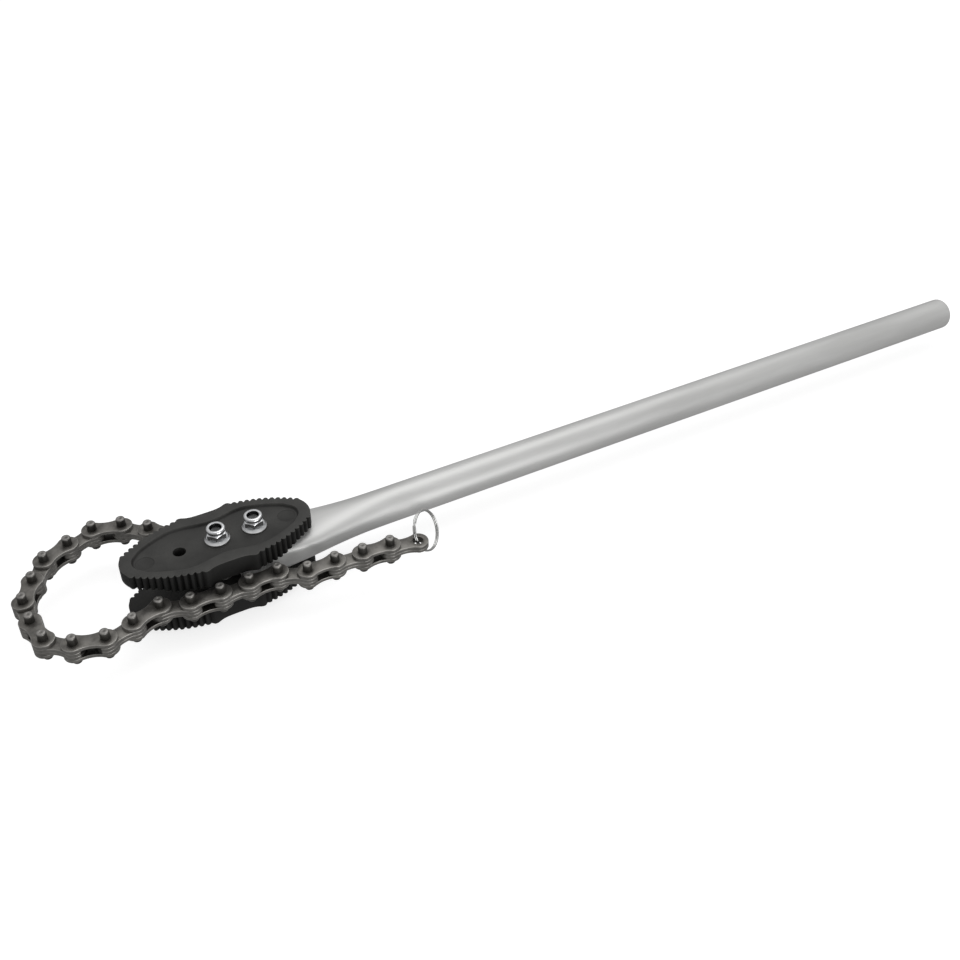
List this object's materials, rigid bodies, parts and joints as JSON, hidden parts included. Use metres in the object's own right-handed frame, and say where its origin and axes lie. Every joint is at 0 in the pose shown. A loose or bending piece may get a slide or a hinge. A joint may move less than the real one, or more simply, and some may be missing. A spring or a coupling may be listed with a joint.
{
  "type": "chain pipe wrench",
  "caption": "Chain pipe wrench: long tubular handle, double-ended toothed jaws bolted on its forged head, leaf chain hooked in a loop by its long pins, split ring on the chain's end.",
  "frame": {"origin": "on the axis of the empty (spare) bolt hole of the jaws, half way between the two jaws", "axes": "+X along the handle to its free end, +Z the normal of the jaw plates towards the nuts, +Y to the side where the chain leaves the shackle"},
  "size_m": [1.0388, 0.1689, 0.077],
  "materials": {
    "handle_steel": "satin, forged and drawn",
    "jaw_black": "black oxide, matt",
    "chain_steel": "dark, oiled",
    "pin_steel": "dark, worn bright at the ends",
    "zinc_plate": "bright zinc",
    "ring_nickel": "bright nickel"
  },
  "bodies": {
    "wrench": {"handle_tube": "handle_steel", "handle_head": "handle_steel", "handle_end": "handle_steel", "upper_jaw": "jaw_black", "lower_jaw": "jaw_black", "front_bolt": "zinc_plate", "rear_bolt": "zinc_plate", "front_nut": "zinc_plate", "rear_nut": "zinc_plate", "bolt_spacers": "handle_steel"},
    "shackle": {"shackle_plates": "chain_steel", "shackle_pin": "pin_steel"},
    "link_01": {"link_01_leaves": "chain_steel"},
    "link_02": {"link_02_plates": "chain_steel", "link_02_pins": "pin_steel"},
    "link_03": {"link_03_leaves": "chain_steel"},
    "link_04": {"link_04_plates": "chain_steel", "link_04_pins": "pin_steel"},
    "link_05": {"link_05_leaves": "chain_steel"},
    "link_06": {"link_06_plates": "chain_steel", "link_06_pins": "pin_steel"},
    "link_07": {"link_07_leaves": "chain_steel"},
    "link_08": {"link_08_plates": "chain_steel", "link_08_pins": "pin_steel"},
    "link_09": {"link_09_leaves": "chain_steel"},
    "link_10": {"link_10_plates": "chain_steel", "link_10_pins": "pin_steel"},
    "link_11": {"link_11_leaves": "chain_steel"},
    "link_12": {"link_12_plates": "chain_steel", "link_12_pins": "pin_steel"},
    "link_13": {"link_13_leaves": "chain_steel"},
    "link_14": {"link_14_plates": "chain_steel", "link_14_pins": "pin_steel"},
    "link_15": {"link_15_leaves": "chain_steel"},
    "link_16": {"link_16_plates": "chain_steel", "link_16_pins": "pin_steel"},
    "link_17": {"link_17_leaves": "chain_steel"},
    "link_18": {"link_18_plates": "chain_steel", "link_18_pins": "pin_steel"},
    "link_19": {"link_19_leaves": "chain_steel"},
    "link_20": {"link_20_plates": "chain_steel", "link_20_pins": "pin_steel"},
    "link_21": {"link_21_leaves": "chain_steel"},
    "link_22": {"link_22_plates": "chain_steel", "link_22_pins": "pin_steel"},
    "end_link": {"end_link": "chain_steel"},
    "split_ring": {"split_ring": "ring_nickel"}
  },
  "joints": [
    {"name": "shackle_hinge", "type": "hinge", "parent": "wrench", "child": "shackle", "pos_m": [0.0335, 0, 0], "axis": [0, 0, 1], "range_deg": [-0.75, 2.5]},
    {"name": "pivot_01", "type": "hinge", "parent": "shackle", "child": "link_01", "pos_m": [0.02103, 0.02674, 0], "axis": [0, 0, 1], "range_deg": [-0.75, 1.75]},
    {"name": "pivot_02", "type": "hinge", "parent": "link_01", "child": "link_02", "pos_m": [0.00833, 0.04873, 0], "axis": [0, 0, 1], "range_deg": [-0.75, 1.25]},
    {"name": "pivot_03", "type": "hinge", "parent": "link_02", "child": "link_03", "pos_m": [-0.00963, 0.06669, 0], "axis": [0, 0, -1], "range_deg": [-0.75, 40]},
    {"name": "pivot_04", "type": "hinge", "parent": "link_03", "child": "link_04", "pos_m": [-0.02908, 0.08302, 0], "axis": [0, 0, 1], "range_deg": [-45, 0.5]},
    {"name": "pivot_05", "type": "hinge", "parent": "link_04", "child": "link_05", "pos_m": [-0.05362, 0.08959, 0], "axis": [0, 0, -1], "range_deg": [-0.25, 45]},
    {"name": "pivot_06", "type": "hinge", "parent": "link_05", "child": "link_06", "pos_m": [-0.07749, 0.08091, 0], "axis": [0, 0, 1], "range_deg": [-50, 0]},
    {"name": "pivot_07", "type": "hinge", "parent": "link_06", "child": "link_07", "pos_m": [-0.10051, 0.07017, 0], "axis": [0, 0, -1], "range_deg": [0, 60]},
    {"name": "pivot_08", "type": "hinge", "parent": "link_07", "child": "link_08", "pos_m": [-0.11508, 0.04937, 0], "axis": [0, 0, 1], "range_deg": [-50, 0]},
    {"name": "pivot_09", "type": "hinge", "parent": "link_08", "child": "link_09", "pos_m": [-0.12778, 0.02737, 0], "axis": [0, 0, -1], "range_deg": [0, 90]},
    {"name": "pivot_10", "type": "hinge", "parent": "link_09", "child": "link_10", "pos_m": [-0.12778, 0.00197, 0], "axis": [0, 0, 1], "range_deg": [-55, 0]},
    {"name": "pivot_11", "type": "hinge", "parent": "link_10", "child": "link_11", "pos_m": [-0.12337, -0.02304, 0], "axis": [0, 0, -1], "range_deg": [0, 70]},
    {"name": "pivot_12", "type": "hinge", "parent": "link_11", "child": "link_12", "pos_m": [-0.10391, -0.03937, 0], "axis": [0, 0, 1], "range_deg": [-70, 0]},
    {"name": "pivot_13", "type": "hinge", "parent": "link_12", "child": "link_13", "pos_m": [-0.07937, -0.04595, 0], "axis": [0, 0, -1], "range_deg": [0, 70]},
    {"name": "pivot_14", "type": "hinge", "parent": "link_13", "child": "link_14", "pos_m": [-0.05484, -0.03937, 0], "axis": [0, 0, 1], "range_deg": [-45, 0]},
    {"name": "pivot_15", "type": "hinge", "parent": "link_14", "child": "link_15", "pos_m": [-0.03055, -0.03195, 0], "axis": [0, 0, -1], "range_deg": [0, 40]},
    {"name": "pivot_16", "type": "hinge", "parent": "link_15", "child": "link_16", "pos_m": [-0.00626, -0.03937, 0], "axis": [0, 0, 1], "range_deg": [-55, 0]},
    {"name": "pivot_17", "type": "hinge", "parent": "link_16", "child": "link_17", "pos_m": [0.01911, -0.0407, 0], "axis": [0, 0, -1], "range_deg": [0, 45]},
    {"name": "pivot_18", "type": "hinge", "parent": "link_17", "child": "link_18", "pos_m": [0.04451, -0.0407, 0], "axis": [0, 0, 1], "range_deg": [-35, 1]},
    {"name": "pivot_19", "type": "hinge", "parent": "link_18", "child": "link_19", "pos_m": [0.06991, -0.0407, 0], "axis": [0, 0, -1], "range_deg": [-4, 35]},
    {"name": "pivot_20", "type": "hinge", "parent": "link_19", "child": "link_20", "pos_m": [0.09293, -0.05144, 0], "axis": [0, 0, 1], "range_deg": [-60, 5]},
    {"name": "pivot_21", "type": "hinge", "parent": "link_20", "child": "link_21", "pos_m": [0.11833, -0.05144, 0], "axis": [0, 0, -1], "range_deg": [-7, 45]},
    {"name": "pivot_22", "type": "hinge", "parent": "link_21", "child": "link_22", "pos_m": [0.14363, -0.05365, 0], "axis": [0, 0, 1], "range_deg": [-45, 10]},
    {"name": "pivot_23", "type": "hinge", "parent": "link_22", "child": "end_link", "pos_m": [0.16893, -0.05586, 0], "axis": [0, 0, -1], "range_deg": [-16, 60]},
    {"name": "ring_swing", "type": "hinge", "parent": "end_link", "child": "split_ring", "pos_m": [0.19395, -0.06027, 0], "axis": [0, 0, -1], "range_deg": [-15, 100]}
  ]
}
